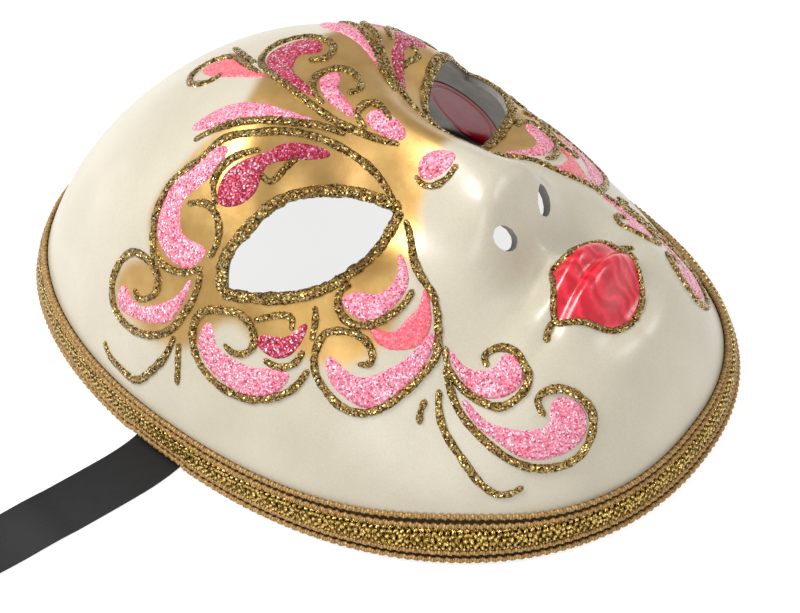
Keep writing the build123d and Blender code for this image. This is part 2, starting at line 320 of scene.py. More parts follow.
# ---------------------------------------------------------------- the ornament's drawing
LEAN = math.radians(35.0)
SIDE_ORIGIN = np.array([-40.0, -12.0, 60.0])
SIDE_X = np.array([math.cos(LEAN), 0, math.sin(LEAN)])
SIDE_NORMAL = np.array([-math.sin(LEAN), 0, math.cos(LEAN)])
FORWARD = np.array([0.0, 1.0, 0.0])
EYE_UPPER = [(-20, 14), (-12, 16), (-3, 13), (7, 10), (15, 6), (20, -2), (21, -15)]
EYE_LOWER = [(21, -15), (12, -14), (3, -13), (-5, -11), (-12, -5), (-17, 4), (-20, 14)]
# The painted lips, from the notch of the upper lip round to the middle of the lower
LIP_HALF = [(0, -73.5), (-5, -69.5), (-10, -73), (-17, -78), (-13, -86), (-7, -91), (0, -92.5)]
EYE_LINES = [EYE_UPPER, EYE_LOWER]
BROW_LINES = [
    [(-17, 23), (-20, 28), (-21, 34), (-19, 41), (-13, 44), (-5, 45), (3, 42), (11, 36), (17, 33),
     (22, 26), (26, 20), (29, 14), (30, 4), (28, -5), (23, -13)],
    [(-14, 22), (-11, 21), (-5, 22), (-1, 27), (-3, 35)],
    [(19, 21), (13, 27), (6, 29), (0, 25)],
    [(22, 13), (17, 14), (12, 15), (13, 18)],
    [(14, 43), (17, 40), (23, 32), (27, 25), (30, 19), (33, 12), (34, 6)],
]
BROW_FILLS = [
    [(15, 30), (7, 40), (-4, 43), (-13, 42), (-18, 35), (-17, 26), (-13, 24), (-12, 31), (-8, 36),
     (-3, 37), (5, 32)],
    [(27, 8), (24, 16), (19, 19), (8, 26), (1, 24), (3, 19), (8, 17), (15, 18), (20, 15)],
    [(18, 46), (23, 43), (29, 35), (31, 29), (32, 22), (33, 14), (29, 23), (24, 33)],
]
TEMPLE_LINES = [
    [(-18, 23), (-24, 23), (-30, 25), (-36, 29), (-40, 37), (-40, 47), (-37, 53), (-31, 56),
     (-26, 55), (-21, 50), (-21, 44), (-23, 39), (-28, 37), (-31, 40), (-32, 43), (-30, 46)],
    [(-47, 56), (-50, 53), (-52, 47), (-53, 40), (-48, 33), (-43, 29), (-37, 27)],
    [(-38, 25), (-43, 24), (-49, 23)],
]
TEMPLE_FILLS = [
    [(-22, 26), (-26, 28), (-31, 34), (-34, 41), (-33, 47), (-31, 51), (-34, 52), (-37, 45),
     (-36, 36), (-32, 29)],
]
CHEEK_LINES = [
    [(-29, -16), (-35, -14), (-40, -9), (-43, -3), (-44, 6), (-42, 14), (-38, 19), (-33, 21),
     (-29, 20), (-25, 13), (-24, 8), (-25, 4), (-30, 1), (-33, 3), (-34, 7), (-33, 10)],
    [(-24, 3), (-21, -1), (-19, -7), (-22, -8)],
    [(-32, -3), (-32, -8), (-29, -12), (-25, -13)],
    [(-13, -11), (-17, -13), (-22, -14)],
    [(3, -31), (-2, -31), (-7, -29), (-11, -26), (-13, -22), (-11, -17), (-7, -15), (-3, -16)],
    [(20, -18), (17, -21), (11, -26), (7, -31), (4, -36), (-1, -40), (-7, -43), (-11, -44),
     (-16, -43), (-22, -41), (-28, -38), (-33, -33), (-34, -27), (-32, -22), (-29, -18),
     (-23, -16), (-18, -17), (-16, -20), (-15, -25), (-17, -29), (-20, -30), (-22, -27)],
]
CHEEK_FILLS = [
    [(-30, 16), (-34, 18), (-39, 15), (-42, 7), (-42, -2), (-38, -9), (-33, -11), (-34, -6),
     (-36, 0), (-36, 7), (-34, 13)],
    [(-28, 0), (-26, -3), (-24, -8), (-19, -11), (-24, -11), (-29, -8), (-30, -5)],
    [(10, -22), (6, -27), (2, -29), (-5, -28), (-10, -25), (-10, -20), (-8, -17), (-5, -19),
     (-3, -24), (2, -26), (6, -25)],
    [(4, -34), (0, -37), (-4, -39), (-9, -39), (-13, -35), (-14, -30), (-12, -27), (-11, -31),
     (-5, -34), (0, -35)],
    [(-24, -20), (-27, -21), (-31, -28), (-31, -33), (-27, -37), (-21, -40), (-14, -42),
     (-6, -41), (-12, -39), (-17, -37), (-21, -34), (-25, -30), (-25, -24)],
]
JAW_LINES = [
    [(-22, -46), (-25, -46), (-29, -47)],
    [(-18, -48), (-23, -50), (-28, -54), (-32, -60), (-35, -65), (-36, -71), (-34, -74), (-31, -76)],
    [(-7, -45), (-12, -48), (-15, -53), (-16, -59), (-15, -64), (-11, -67), (-6, -68), (-2, -65),
     (0, -61), (-1, -57), (-5, -55), (-7, -57)],
    [(-12, -47), (-16, -50), (-21, -55), (-24, -61), (-26, -68), (-26, -75), (-23, -81),
     (-18, -85), (-10, -86), (-5, -84), (-3, -80), (-4, -75), (-9, -72), (-12, -75)],
]
JAW_FILLS = [
    [(-13, -53), (-14, -60), (-10, -65), (-5, -66), (-2, -63), (-2, -60), (-6, -59), (-9, -56),
     (-10, -51), (-8, -47)],
    [(-18, -55), (-20, -60), (-20, -67), (-17, -74), (-13, -77), (-7, -76), (-5, -80), (-9, -84),
     (-16, -83), (-21, -79), (-24, -73), (-23, -66), (-21, -59)],
]
# The crown scroll stands on the middle of the forehead and is drawn from the front.
CROWN_LINES = [
    [(-6, -20), (-9, -10), (-12, 2), (-11, 13), (-6, 26), (0, 33), (6, 34), (11, 32), (14, 28),
     (14, 21), (11, 15), (6, 14), (3, 18)],
    [(-10, 3), (-7, 9), (-3, 11), (2, 10), (5, 6), (4, 1), (0, -2), (-3, 0)],
    [(-8, -10), (-6, -6), (-2, -7), (-1, -11), (-3, -15)],
    [(-8, 27), (-4, 36), (0, 46), (-3, 52), (-9, 53), (-14, 48), (-13, 42), (-9, 40)],
    [(-3, 33), (1, 41), (6, 49)],
    [(-10, -28), (-11, -32), (-8, -37), (-4, -38)],
]
CROWN_FILLS = [
    [(-9, 7), (-9, 16), (-4, 26), (1, 31), (8, 30), (12, 26), (11, 20), (7, 18), (5, 22),
     (-1, 21), (-6, 15)],
    [(-7, -5), (-8, 2), (-5, 7), (-1, 9), (2, 7), (-2, 4), (-5, 0)],
    [(-5, -9), (-3, -10), (-4, -20), (-6, -15)],
    [(-9, 25), (-10, 34), (-10, 44), (-6, 50), (-2, 46), (-5, 37)],
    [(-9, -29), (-7, -28), (-3, -36), (-8, -34)],
]
LIP_TAILS = [[(-16, -78), (-20, -77.5), (-23, -79)], [(16, -78), (20, -77.5), (23, -79)]]
# Soft-edged gold leaf round the eye, over the brow and across the bridge of the nose
GOLD_AREA = [
    (-34, 18), (-39, 30), (-37, 44), (-31, 53), (-25, 50), (-21, 40), (-12, 45), (-3, 45),
    (6, 41), (16, 36), (24, 32), (34, 34), (44, 38), (62, 38), (62, -16), (44, -18), (34, -19),
    (24, -20), (14, -24), (6, -24), (-2, -28), (-10, -30), (-18, -28), (-25, -20), (-26, -10),
    (-28, -2), (-25, 8), (-28, 14),
]


def side_coordinates(points):
    """The side plane's coordinates of points, those of the left half mirrored."""
    p = np.array(points, float)
    p[:, 0] = -np.abs(p[:, 0])
    away = p - SIDE_ORIGIN
    return np.stack([away @ SIDE_X, away @ FORWARD], -1)


EYE_OUTLINE = np.vstack([smooth_curve(EYE_UPPER)[:-1], smooth_curve(EYE_LOWER)[:-1]])

# ---------------------------------------------------------------- shell mesh
ACROSS_COUNT = 230
ALONG_COUNT = 290
SPAN = 2.9
NOSTRIL = np.array([-9.5, -57.0, 63.0])
NOSTRIL_NORMAL = np.array([-0.45, -0.55, 0.7])
NOSTRIL_HALF_WIDTH = 3.2
NOSTRIL_HALF_LENGTH = 4.2
NOSTRIL_DEPTH = 9.0
# A notch in the edge of the shell and the braid lets each ribbon out under the rim.
RIBBON_Y = 16.0
NOTCH = 1.3
NOTCH_HALF_WIDTH = 13.0
GOLD_FADE_START = 5.0
GOLD_FADE = 8.0


def spread(count):
    """Directions across or along the face, closer together in its middle."""
    angle = np.linspace(-1.0, 1.0, count)
    return SPAN * np.tan(angle) / math.tan(1.0)


across, along = np.meshgrid(spread(ACROSS_COUNT), spread(ALONG_COUNT), indexing="ij")
face_points = face_grid(across, along).reshape(-1, 3)
face_faces = grid_faces(ACROSS_COUNT, ALONG_COUNT)
face_normals = point_normals(face_points, face_faces)
if face_normals[len(face_normals) // 2][2] < 0:
    face_faces = [face[::-1] for face in face_faces]
    face_normals = -face_normals
surface = BVHTree.FromPolygons([tuple(p) for p in face_points], face_faces)


def notch(points):
    """How far the edge is raised at points to let the ribbons out."""
    near = ease((NOTCH_HALF_WIDTH - np.abs(points[:, 1] - RIBBON_Y)) / 3.0)
    return NOTCH * near * (np.abs(points[:, 0]) > 50)


def nostril_distance(points):
    """Distance to the nearer nostril hole, negative inside it."""
    p = np.array(points, float)
    p[:, 0] = -np.abs(p[:, 0])
    normal = NOSTRIL_NORMAL / np.linalg.norm(NOSTRIL_NORMAL)
    side = np.cross(FORWARD, normal)
    side = side / np.linalg.norm(side)
    tall = np.cross(normal, side)
    away = p - NOSTRIL
    flat = np.hypot(away @ side / NOSTRIL_HALF_WIDTH, away @ tall / NOSTRIL_HALF_LENGTH)
    elsewhere = np.abs(away @ normal) > NOSTRIL_DEPTH
    return (flat - 1) * NOSTRIL_HALF_WIDTH + 20 * elsewhere


def make_shell(outside, inside):
    """The face, its eyes, nostrils and notches cut out, given its thickness."""
    # Columns: place, normal
    data = np.hstack([face_points, face_normals])
    points, faces = clip(data, face_faces, data[:, 2] - notch(data[:, :3]))
    eye = -outline_distance(side_coordinates(points[:, :3]), EYE_OUTLINE)
    points, faces = clip(points, faces, eye)
    points, faces = clip(points, faces, nostril_distance(points[:, :3]))
    outer = points[:, :3]
    normals = points[:, 3:6] / np.linalg.norm(points[:, 3:6], axis=1, keepdims=True)
    inner = outer - normals * SHELL
    inner[:, 2] = np.maximum(inner[:, 2], np.minimum(outer[:, 2], 0.0))
    count = len(outer)
    edges = border(faces)
    walls = [(b, a, a + count, b + count) for a, b in edges]
    backs = [tuple(i + count for i in face[::-1]) for face in faces]
    indices = [0] * len(faces) + [1] * (len(backs) + len(walls))
    shell = make_object(
        "mask_shell",
        np.vstack([outer, inner]),
        faces + backs + walls,
        [outside, inside],
        indices,
        sharp=50,
    )
    gold = outline_distance(side_coordinates(outer), smooth_curve(GOLD_AREA, closed=True, step=2))
    mask = ease((gold + GOLD_FADE_START) / GOLD_FADE)
    attribute = shell.data.attributes.new("gold_leaf", "FLOAT", "POINT")
    attribute.data.foreach_set("value", np.concatenate([mask, 0 * mask]).astype(np.float32))
    return shell


# ---------------------------------------------------------------- drawing on the face
FRONT_HEIGHT = 70.0
STAND_OFF = 60.0


def drop(points, plane):
    """Plane points put on the face: (places, normals)."""
    places = []
    normals = []
    for u, v in points:
        if plane == "side":
            start = SIDE_ORIGIN + u * SIDE_X + v * FORWARD
            ahead = SIDE_NORMAL
        else:
            start = np.array([u, v, FRONT_HEIGHT])
            ahead = np.array([0.0, 0.0, 1.0])
        spot, normal, _, _ = surface.ray_cast(Vector(start + STAND_OFF * ahead), Vector(-ahead))
        places.append(spot)
        normals.append(normal)
    return np.array(places, float), np.array(normals, float)


BEAD_SIDES = 8


def bead(points, plane, width, height, rng, taper=1.0):
    """A rounded glue line: (points, faces), in mm."""
    line = smooth_curve(points, step=0.55)
    spots, up = drop(line, plane)
    along_line = np.gradient(spots, axis=0)
    along_line /= np.linalg.norm(along_line, axis=1, keepdims=True)
    side = np.cross(along_line, up)
    side /= np.linalg.norm(side, axis=1, keepdims=True)
    count = len(spots)
    s = np.concatenate([[0], np.cumsum(np.linalg.norm(np.diff(spots, axis=0), axis=1))])
    knots = np.arange(0, s[-1] + 4, 1.7)
    wobble = np.interp(s, knots, rng.normal(0, 0.09, len(knots)))
    end = np.minimum(s, s[-1] - s) / (0.5 * width)
    cap = np.sqrt(np.clip(1 - (1 - np.clip(end, 0, 1)) ** 2, 0.02, 1))
    thin = 1 - (1 - taper) * ease(1 - np.minimum(s, s[-1] - s) / 12.0)
    half = 0.5 * width * cap * (1 + wobble) * thin
    tall = height * cap * (1 + 0.8 * wobble) * thin
    angles = np.linspace(0, math.pi, BEAD_SIDES)
    rings = []
    for angle in angles:
        rough = rng.normal(0, 0.05, (count, 1))
        foot = -0.25 if angle in (angles[0], angles[-1]) else 0.0
        rings.append(
            spots
            + side * (half * math.cos(angle))[:, None] * (1 + rough)
            + up * (tall * math.sin(angle) ** 0.8 + foot)[:, None] * (1 + rough)
        )
    ring = np.stack(rings, 1).reshape(-1, 3)
    faces = grid_faces(count, len(angles))
    first = tuple(range(len(angles)))
    last = tuple(len(ring) - len(angles) + i for i in reversed(range(len(angles))))
    return ring, faces + [first[::-1], last[::-1]]


def merge(parts):
    """One mesh from several (points, faces)."""
    points = []
    faces = []
    start = 0
    for part_points, part_faces in parts:
        points.append(part_points)
        faces += [tuple(i + start for i in face) for face in part_faces]
        start += len(part_points)
    return np.vstack(points), faces


def mirrored(points, faces):
    """The same mesh on the other side of the face."""
    return points * np.array([-1, 1, 1]), [face[::-1] for face in faces]


LEAF_SPREAD = 0.7  # a leaf runs this far under the lines that edge it
LEAF_SINK = 0.15  # and its edge dips this far under the surface


def leaf(outline_points, plane, height, rng, cell=0.55):
    """A flooded leaf of glitter glue with a soft rounded edge."""
    outline = smooth_curve(outline_points, closed=True, step=0.5)
    low = outline.min(0) - LEAF_SPREAD - cell
    high = outline.max(0) + LEAF_SPREAD + cell
    counts = np.ceil((high - low) / cell).astype(int) + 1
    u, v = np.meshgrid(
        low[0] + cell * np.arange(counts[0]), low[1] + cell * np.arange(counts[1]), indexing="ij"
    )
    flat = np.stack([u.ravel(), v.ravel()], -1)
    inside = outline_distance(flat, outline) + LEAF_SPREAD
    points, faces = clip(np.column_stack([flat, inside]), grid_faces(*counts), inside)
    spots, up = drop(points[:, :2], plane)
    deep = np.clip(points[:, 2], 0, None)
    lift = -LEAF_SINK + (height + LEAF_SINK) * (1 - np.exp(-deep / 0.35))
    lift = lift + rng.normal(0, 0.035, len(lift)) * ease(deep)
    return spots + up * lift[:, None], faces


# ---------------------------------------------------------------- rim braid
BRAID_HEIGHT = 12.0
BRAID_MIDDLE = 6.0
KNOT_PITCH = 7.0
SCALLOP_PITCH = 2.3
CONTOUR_HEIGHTS = np.linspace(0.0, 13.0, 8)
TURN_COUNT = 2400
HALVINGS = 40


def rim_contours():
    """Closed level lines of the face near the rim, with matching points."""
    angle = np.linspace(0, 2 * math.pi, TURN_COUNT, endpoint=False)
    lines = []
    for height in CONTOUR_HEIGHTS:
        low = np.full(TURN_COUNT, 0.3)
        high = np.full(TURN_COUNT, 4.0)
        for _ in range(HALVINGS):
            middle = (low + high) / 2
            z = face_grid(middle * np.cos(angle), middle * np.sin(angle))[:, 2]
            above = z > height
            low = np.where(above, middle, low)
            high = np.where(above, high, middle)
        lines.append(face_grid(low * np.cos(angle), low * np.sin(angle)))
    return np.array(lines)


contours = rim_contours()
rim_steps = np.linalg.norm(np.diff(np.vstack([contours[3], contours[3][:1]]), axis=0), axis=1)
rim_distance = np.concatenate([[0], np.cumsum(rim_steps)])
RIM_LENGTH = rim_distance[-1]


def on_rim(s, v):
    """(places, normals) on the rim band, at s along it and v up from the edge."""
    index = np.interp(s % RIM_LENGTH, rim_distance, np.arange(TURN_COUNT + 1))
    i = np.floor(index).astype(int)
    t = (index - i)[:, None]
    i0 = i % TURN_COUNT
    i1 = (i + 1) % TURN_COUNT
    row = np.clip(v / (CONTOUR_HEIGHTS[1] - CONTOUR_HEIGHTS[0]), 0, len(CONTOUR_HEIGHTS) - 1.001)
    j = np.floor(row).astype(int)
    w = (row - j)[:, None]
    low = contours[j, i0] * (1 - t) + contours[j, i1] * t
    high = contours[j + 1, i0] * (1 - t) + contours[j + 1, i1] * t
    spots = low * (1 - w) + high * w
    up = high - low
    up /= np.linalg.norm(up, axis=1, keepdims=True)
    ahead = contours[j, (i1 + 2) % TURN_COUNT] - contours[j, (i0 - 2) % TURN_COUNT]
    ahead /= np.linalg.norm(ahead, axis=1, keepdims=True)
    normal = np.cross(ahead, up)
    normal /= np.linalg.norm(normal, axis=1, keepdims=True)
    return spots, normal


PLY_LENGTH = 1.25
STRAND_SIDES = 6


def strand(v, lift, radius, step, ply):
    """A closed thread round the rim; v and lift are functions of distance along it."""
    sides = STRAND_SIDES
    count = int(RIM_LENGTH / step)
    s = np.linspace(0, RIM_LENGTH, count, endpoint=False)
    spots, normal = on_rim(s, v(s))
    raised = notch(spots) * np.clip(1 - v(s) / BRAID_HEIGHT, 0, 1)
    centre = spots + normal * lift(s)[:, None] + np.outer(raised, [0, 0, 1.0])
    ahead = np.roll(centre, -1, axis=0) - np.roll(centre, 1, axis=0)
    ahead /= np.linalg.norm(ahead, axis=1, keepdims=True)
    side = np.cross(ahead, normal)
    side /= np.linalg.norm(side, axis=1, keepdims=True)
    out = np.cross(side, ahead)
    rings = []
    uvs = []
    for k in range(sides):
        angle = 2 * math.pi * k / sides
        swell = radius * (1 + ply * np.sin(2 * math.pi * s / PLY_LENGTH + 2 * angle))
        sideways = side * (swell * math.cos(angle))[:, None]
        rings.append(centre + sideways + out * (swell * math.sin(angle))[:, None])
        uvs.append(np.stack([s, np.full(count, k / sides)], -1))
    points = np.stack(rings, 1).reshape(-1, 3)
    points[:, 2] = np.maximum(points[:, 2], 0.02)
    return points, ring_faces(count, sides, count), np.stack(uvs, 1).reshape(-1, 2)


# ---------------------------------------------------------------- materials
class Nodes:
    """A Principled material with short names for adding nodes."""

    def __init__(self, name, **values):
        self.material = bpy.data.materials.new(name)
        self.material.use_nodes = True
        self.tree = self.material.node_tree
        self.shader = self.tree.nodes["Principled BSDF"]
        for key, value in values.items():
            self.shader.inputs[key.replace("_", " ")].default_value = value
        self.place = self.node("ShaderNodeTexCoord").outputs["Object"]

    def node(self, kind, **values):
        node = self.tree.nodes.new(kind)
        for key, value in values.items():
            setattr(node, key, value)
        return node

    def link(self, output, target):
        self.tree.links.new(output, target)

    def feed(self, output, name):
        self.link(output, self.shader.inputs[name])

    def noise(self, size_mm, detail=2.0, roughness=0.5):
        node = self.node("ShaderNodeTexNoise")
        node.inputs["Scale"].default_value = 1000.0 / size_mm
        node.inputs["Detail"].default_value = detail
        node.inputs["Roughness"].default_value = roughness
        self.link(self.place, node.inputs["Vector"])
        return node.outputs["Fac"]

    def cells(self, size_mm):
        node = self.node("ShaderNodeTexVoronoi")
        node.inputs["Scale"].default_value = 1000.0 / size_mm
        self.link(self.place, node.inputs["Vector"])
        return node.outputs["Color"]

    def ramp(self, value, stops, mode="LINEAR"):
        node = self.node("ShaderNodeValToRGB")
        node.color_ramp.interpolation = mode
        elements = node.color_ramp.elements
        while len(elements) < len(stops):
            elements.new(1.0)
        for element, (position, color) in zip(elements, stops):
            element.position = position
            element.color = (*color, 1.0)
        self.link(value, node.inputs["Fac"])
        return node.outputs["Color"]

    def channel(self, color, name):
        node = self.node("ShaderNodeSeparateColor")
        self.link(color, node.inputs["Color"])
        return node.outputs[name]

    def mix(self, factor, a, b):
        node = self.node("ShaderNodeMix", data_type="RGBA")
        for value, name in ((factor, "Factor"), (a, "A"), (b, "B")):
            kind = "VALUE" if name == "Factor" else "RGBA"
            socket = [i for i in node.inputs if i.name == name and i.type == kind][0]
            if hasattr(value, "is_output"):
                self.link(value, socket)
            elif name == "Factor":
                socket.default_value = value
            else:
                socket.default_value = (*value, 1.0)
        return [o for o in node.outputs if o.type == "RGBA"][0]

    def multiply(self, a, b, amount):
        """Color a tinted by color b."""
        node = self.node("ShaderNodeMix", data_type="RGBA", blend_type="MULTIPLY")
        node.inputs[0].default_value = amount
        self.link(a, node.inputs[6])
        self.link(b, node.inputs[7])
        return node.outputs[2]

    def math(self, operation, a, b=0.5):
        node = self.node("ShaderNodeMath", operation=operation)
        for value, socket in ((a, node.inputs[0]), (b, node.inputs[1])):
            if hasattr(value, "is_output"):
                self.link(value, socket)
            else:
                socket.default_value = value
        return node.outputs[0]

    def bump(self, height, depth_mm, strength=1.0):
        node = self.node("ShaderNodeBump")
        node.inputs["Strength"].default_value = strength
        node.inputs["Distance"].default_value = depth_mm * MM
        self.link(height, node.inputs["Height"])
        self.feed(node.outputs["Normal"], "Normal")

    def flakes(self, color, tilt):
        """Turns the surface by a random amount in each cell, as glitter flakes do."""
        shift = self.node("ShaderNodeVectorMath", operation="SUBTRACT")
        self.link(color, shift.inputs[0])
        shift.inputs[1].default_value = (0.5, 0.5, 0.5)
        scale = self.node("ShaderNodeVectorMath", operation="SCALE")
        self.link(shift.outputs[0], scale.inputs[0])
        scale.inputs["Scale"].default_value = tilt
        normal = self.node("ShaderNodeNewGeometry").outputs["Normal"]
        total = self.node("ShaderNodeVectorMath", operation="ADD")
        self.link(normal, total.inputs[0])
        self.link(scale.outputs[0], total.inputs[1])
        unit = self.node("ShaderNodeVectorMath", operation="NORMALIZE")
        self.link(total.outputs[0], unit.inputs[0])
        self.feed(unit.outputs[0], "Normal")


def pearl_and_gold():
    m = Nodes("pearl_shell", Coat_Weight=0.35, Coat_Roughness=0.25, Specular_IOR_Level=0.5)
    pearl = m.ramp(m.noise(22, 3), [(0.3, (0.5, 0.455, 0.35)), (0.7, (0.56, 0.51, 0.4))])
    grey = [(0.0, (0.9, 0.9, 0.9)), (1.0, (1.08, 1.08, 1.08))]
    shimmer = m.multiply(pearl, m.ramp(m.channel(m.cells(0.25), "Red"), grey), 0.6)
    leaf = m.ramp(
        m.noise(7, 3, 0.5),
        [(0.3, (0.52, 0.3, 0.09)), (0.55, (0.6, 0.37, 0.12)), (0.8, (0.68, 0.44, 0.16))],
    )
    gold = m.node("ShaderNodeAttribute", attribute_name="gold_leaf").outputs["Fac"]
    ragged = m.math("ADD", gold, m.math("MULTIPLY", m.math("SUBTRACT", m.noise(3.5, 4), 0.5), 0.2))
    edge = m.node("ShaderNodeMapRange", interpolation_type="SMOOTHSTEP")
    edge.inputs["From Min"].default_value = 0.02
    edge.inputs["From Max"].default_value = 0.9
    m.link(ragged, edge.inputs["Value"])
    amount = edge.outputs["Result"]
    m.feed(m.mix(amount, shimmer, leaf), "Base Color")
    m.feed(m.math("MULTIPLY", amount, 0.92), "Metallic")
    rough = m.math("ADD", 0.36, m.math("MULTIPLY", m.noise(1.5, 3), 0.12))
    m.feed(rough, "Roughness")
    grain = m.math("ADD", m.noise(6, 3), m.math("MULTIPLY", m.noise(0.6, 2), 0.12))
    m.bump(grain, 0.3, 0.35)
    return m.material


def paper_inside():
    m = Nodes("paper_inside", Roughness=0.85)
    color = m.ramp(m.noise(9, 5, 0.65), [(0.3, (0.2, 0.19, 0.17)), (0.7, (0.3, 0.285, 0.26))])
    m.feed(color, "Base Color")
    m.bump(m.noise(2.2, 5, 0.7), 0.5, 0.7)
    return m.material


def glitter(name, stops, size, tilt, metallic, roughness, shade=None):
    m = Nodes(name, Metallic=metallic, Roughness=roughness)
    cells = m.cells(size)
    color = m.ramp(m.channel(cells, "Red"), stops, "CONSTANT")
    if shade:
        depth = m.ramp(m.noise(4.5, 2), [(0.35, shade[0]), (0.65, shade[1])])
        color = m.multiply(color, depth, 1.0)
    m.feed(color, "Base Color")
    m.flakes(cells, tilt)
    return m.material


def gold_glitter():
    stops = [
        (0.0, (0.05, 0.028, 0.006)),
        (0.22, (0.2, 0.12, 0.03)),
        (0.5, (0.42, 0.27, 0.08)),
        (0.78, (0.7, 0.5, 0.2)),
        (0.93, (1.0, 0.86, 0.55)),
    ]
    return glitter("gold_glitter", stops, 0.42, 1.5, 0.85, 0.28)


def pink_glitter():
    stops = [
        (0.0, (0.45, 0.06, 0.12)),
        (0.14, (0.76, 0.2, 0.3)),
        (0.5, (0.83, 0.32, 0.42)),
        (0.72, (0.85, 0.5, 0.6)),
        (0.88, (0.92, 0.82, 0.9)),
    ]
    return glitter("pink_glitter", stops, 0.42, 1.0, 0.1, 0.35, ((1.0, 0.72, 0.78), (1.0, 1.0, 1.0)))


def crimson_glitter():
    stops = [
        (0.0, (0.2, 0.005, 0.02)),
        (0.3, (0.45, 0.01, 0.05)),
        (0.62, (0.62, 0.05, 0.12)),
        (0.82, (0.75, 0.25, 0.36)),
        (0.94, (0.9, 0.8, 0.86)),
    ]
    return glitter("crimson_glitter", stops, 0.42, 1.0, 0.15, 0.32)


def coral_glitter():
    stops = [(0.0, (0.7, 0.09, 0.12)), (0.4, (0.8, 0.15, 0.19)), (0.8, (0.85, 0.25, 0.3))]
    return glitter("coral_glitter", stops, 0.4, 0.5, 0.05, 0.35)


def lip_paint():
    m = Nodes("lip_paint", Roughness=0.3, Coat_Weight=0.5, Coat_Roughness=0.15)
    wave = m.node("ShaderNodeTexWave", bands_direction="X")
    wave.inputs["Scale"].default_value = 70.0
    wave.inputs["Distortion"].default_value = 14.0
    wave.inputs["Detail"].default_value = 3.0
    m.link(m.place, wave.inputs["Vector"])
    reds = [(0.0, (0.5, 0.0, 0.014)), (0.6, (0.64, 0.004, 0.022)), (1.0, (0.76, 0.02, 0.05))]
    m.feed(m.ramp(wave.outputs["Fac"], reds), "Base Color")
    m.bump(wave.outputs["Fac"], 0.15, 0.6)
    return m.material


TWIST_LENGTH = 0.62


def thread(name, stops, metallic, roughness):
    """Twisted yarn, with painted shade in the turns and a painted highlight on their crests."""
    m = Nodes(name, Metallic=metallic, Roughness=roughness)
    uv = m.node("ShaderNodeUVMap", uv_map="UVMap").outputs["UV"]
    split = m.node("ShaderNodeSeparateXYZ")
    m.link(uv, split.inputs[0])
    along_thread = m.math("MULTIPLY", split.outputs[0], 2 * math.pi / TWIST_LENGTH)
    turn = m.math("ADD", along_thread, m.math("MULTIPLY", split.outputs[1], 2 * math.pi))
    # The twist pattern darkens the colour in the turns as painted shade and lightens it on the crests as a
    # painted highlight; it also drives the bump.
    twist_painted_shade = m.math("ADD", m.math("MULTIPLY", m.math("SINE", turn), 0.5), 0.5)
    specks = m.math("MULTIPLY", m.channel(m.cells(0.55), "Red"), 0.45)
    painted_shade_and_specks = m.math("ADD", m.math("MULTIPLY", twist_painted_shade, 0.55), specks)
    m.feed(m.ramp(painted_shade_and_specks, stops), "Base Color")
    m.bump(twist_painted_shade, 0.18, 0.8)
    return m.material


def ribbon_satin():
    m = Nodes("ribbon_satin", Roughness=0.45, Anisotropic=0.4, Specular_IOR_Level=0.3)
    m.shader.inputs["Sheen Weight"].default_value = 0.04
    m.shader.inputs["Sheen Roughness"].default_value = 0.4
    uv = m.node("ShaderNodeUVMap", uv_map="UVMap").outputs["UV"]
    stretch = m.node("ShaderNodeMapping")
    stretch.inputs["Scale"].default_value = (0.25, 9.0, 1.0)
    m.link(uv, stretch.inputs["Vector"])
    noise = m.node("ShaderNodeTexNoise")
    noise.inputs["Scale"].default_value = 1.0
    noise.inputs["Detail"].default_value = 4.0
    m.link(stretch.outputs[0], noise.inputs["Vector"])
    blacks = [(0.3, (0.004, 0.004, 0.004)), (0.7, (0.012, 0.012, 0.013))]
    m.feed(m.ramp(noise.outputs["Fac"], blacks), "Base Color")
    m.bump(noise.outputs["Fac"], 0.03, 0.5)
    return m.material


def patch_gloss():
    m = Nodes("patch_gloss", Roughness=0.32, Coat_Weight=0.3)
    m.feed(m.ramp(m.noise(3, 3), [(0.3, (0.2, 0.0, 0.008)), (0.7, (0.3, 0.002, 0.014))]), "Base Color")
    m.bump(m.noise(0.5, 2), 0.04, 0.4)
    return m.material


def plain_floor():
    values = {"Base Color": (0.3, 0.3, 0.3, 1.0), "Emission Color": (1.0, 1.0, 1.0, 1.0)}
    m = Nodes("plain_floor", Roughness=0.9, Emission_Strength=0.78)
    for key, value in values.items():
        m.shader.inputs[key].default_value = value
    return m.material


# ---------------------------------------------------------------- the pieces
PEARL = pearl_and_gold()
INSIDE = paper_inside()
GOLD = gold_glitter()
PINK = pink_glitter()
CRIMSON = crimson_glitter()
CORAL = coral_glitter()
LIPS = lip_paint()
# Thread colours run from painted shade in the turns up to a painted highlight on the crests
TAN_SHADE_TO_HIGHLIGHT = [(0.1, (0.2, 0.1, 0.025)), (0.6, (0.42, 0.24, 0.07)), (1.0, (0.62, 0.4, 0.15))]
GOLD_SHADE_TO_HIGHLIGHT = [(0.15, (0.05, 0.028, 0.005)), (0.55, (0.32, 0.19, 0.03)), (0.9, (0.95, 0.7, 0.26))]
TAN_THREAD = thread("tan_thread", TAN_SHADE_TO_HIGHLIGHT, 0.25, 0.45)
METAL_THREAD = thread("metal_thread", GOLD_SHADE_TO_HIGHLIGHT, 0.9, 0.25)
# A near-black band under the braid, standing for the shade in the gaps between its threads
PAINTED_SHADE_BAND = thread("braid_shade_gaps", [(0.0, (0.02, 0.012, 0.004)), (1.0, (0.08, 0.05, 0.015))], 0.2, 0.7)
SATIN = ribbon_satin()
PATCH = patch_gloss()

place(make_shell(PEARL, INSIDE), "shell", "shell")

